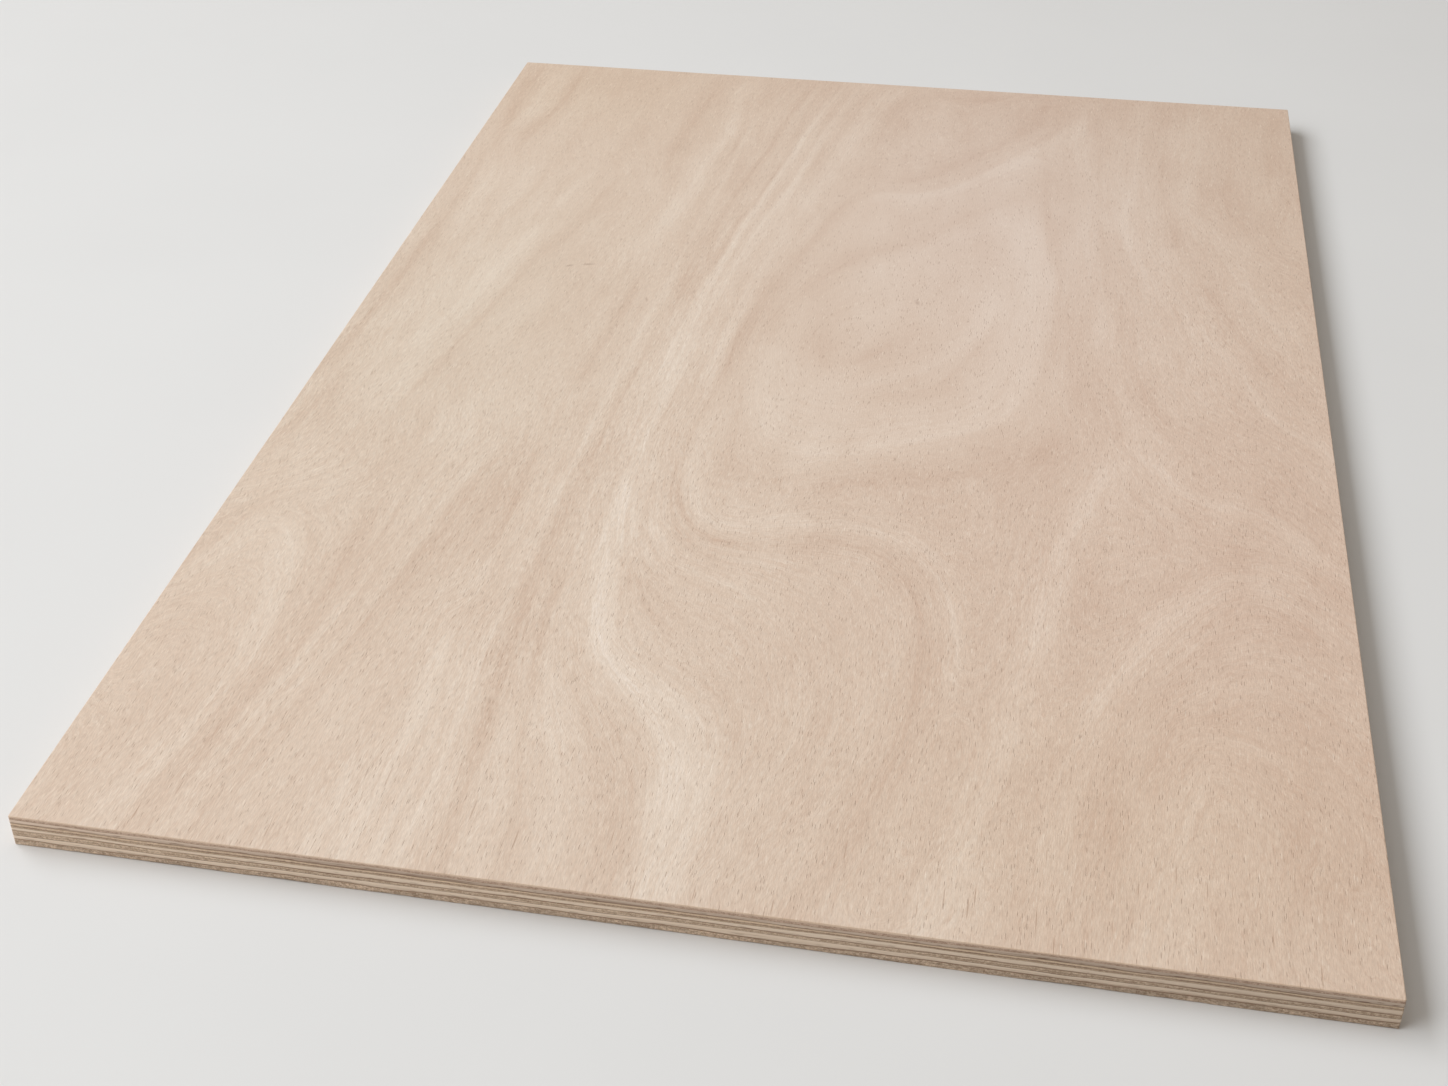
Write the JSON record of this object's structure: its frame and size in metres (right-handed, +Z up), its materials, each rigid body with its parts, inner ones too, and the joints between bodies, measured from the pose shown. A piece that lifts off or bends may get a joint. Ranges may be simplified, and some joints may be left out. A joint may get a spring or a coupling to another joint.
{
  "type": "plywood sheet",
  "caption": "Flat rectangular sheet of laminated wood with crossed veneers showing along its sawn edges, to be cut up or screwed down as a panel.",
  "frame": {"origin": "centre of the underside, on the surface that the sheet lies on", "axes": "+X across the sheet's width, +Y along its length and the face grain, +Z up out of the sanded face"},
  "size_m": [0.6, 0.9, 0.017],
  "materials": {
    "face_veneer": "matte",
    "crossband": "matte",
    "inner_veneer": "matte",
    "back_veneer": "matte"
  },
  "bodies": {
    "root": {"back_veneer": "back_veneer", "lower_crossband": "crossband", "lower_inner_veneer": "inner_veneer", "middle_crossband": "crossband", "upper_inner_veneer": "inner_veneer", "upper_crossband": "crossband", "face_veneer": "face_veneer"}
  },
  "joints": []
}
